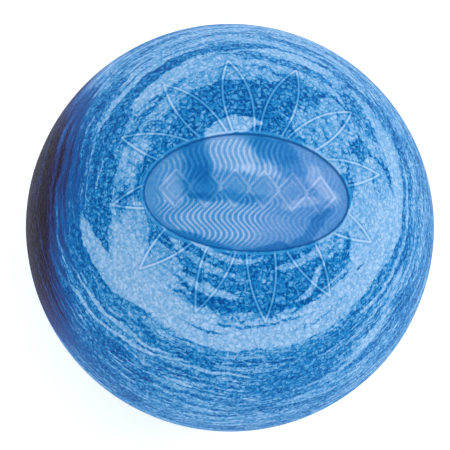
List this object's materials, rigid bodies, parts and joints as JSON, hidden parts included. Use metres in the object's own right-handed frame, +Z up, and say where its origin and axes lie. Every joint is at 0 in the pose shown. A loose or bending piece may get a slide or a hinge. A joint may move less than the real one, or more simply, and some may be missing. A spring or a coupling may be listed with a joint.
{
  "type": "soft weighted exercise ball",
  "caption": "Hand-sized marbled vinyl ball, part filled with sand, with an oval panel, a ring of star ribs and a pull-out stopper in a soft valve.",
  "frame": {"origin": "middle of the flat contact patch that the ball rests on", "axes": "+Z up through the star's centre, +X along the oval panel's long axis, +Y towards the valve at the back"},
  "size_m": [0.127, 0.127, 0.1248],
  "materials": {
    "marbled_vinyl": "satin",
    "valve_vinyl": "satin",
    "plug_plastic": "satin",
    "dry_sand": "matte"
  },
  "bodies": {
    "ball": {"vinyl_shell": "marbled_vinyl", "valve_seat": "valve_vinyl", "sand_fill": "dry_sand"},
    "plug": {"valve_plug": "plug_plastic"}
  },
  "joints": [
    {"name": "plug_pull", "type": "slide", "parent": "ball", "child": "plug", "axis": [0, 0.9903, 0.1392], "range_m": [0, 0.024]}
  ]
}
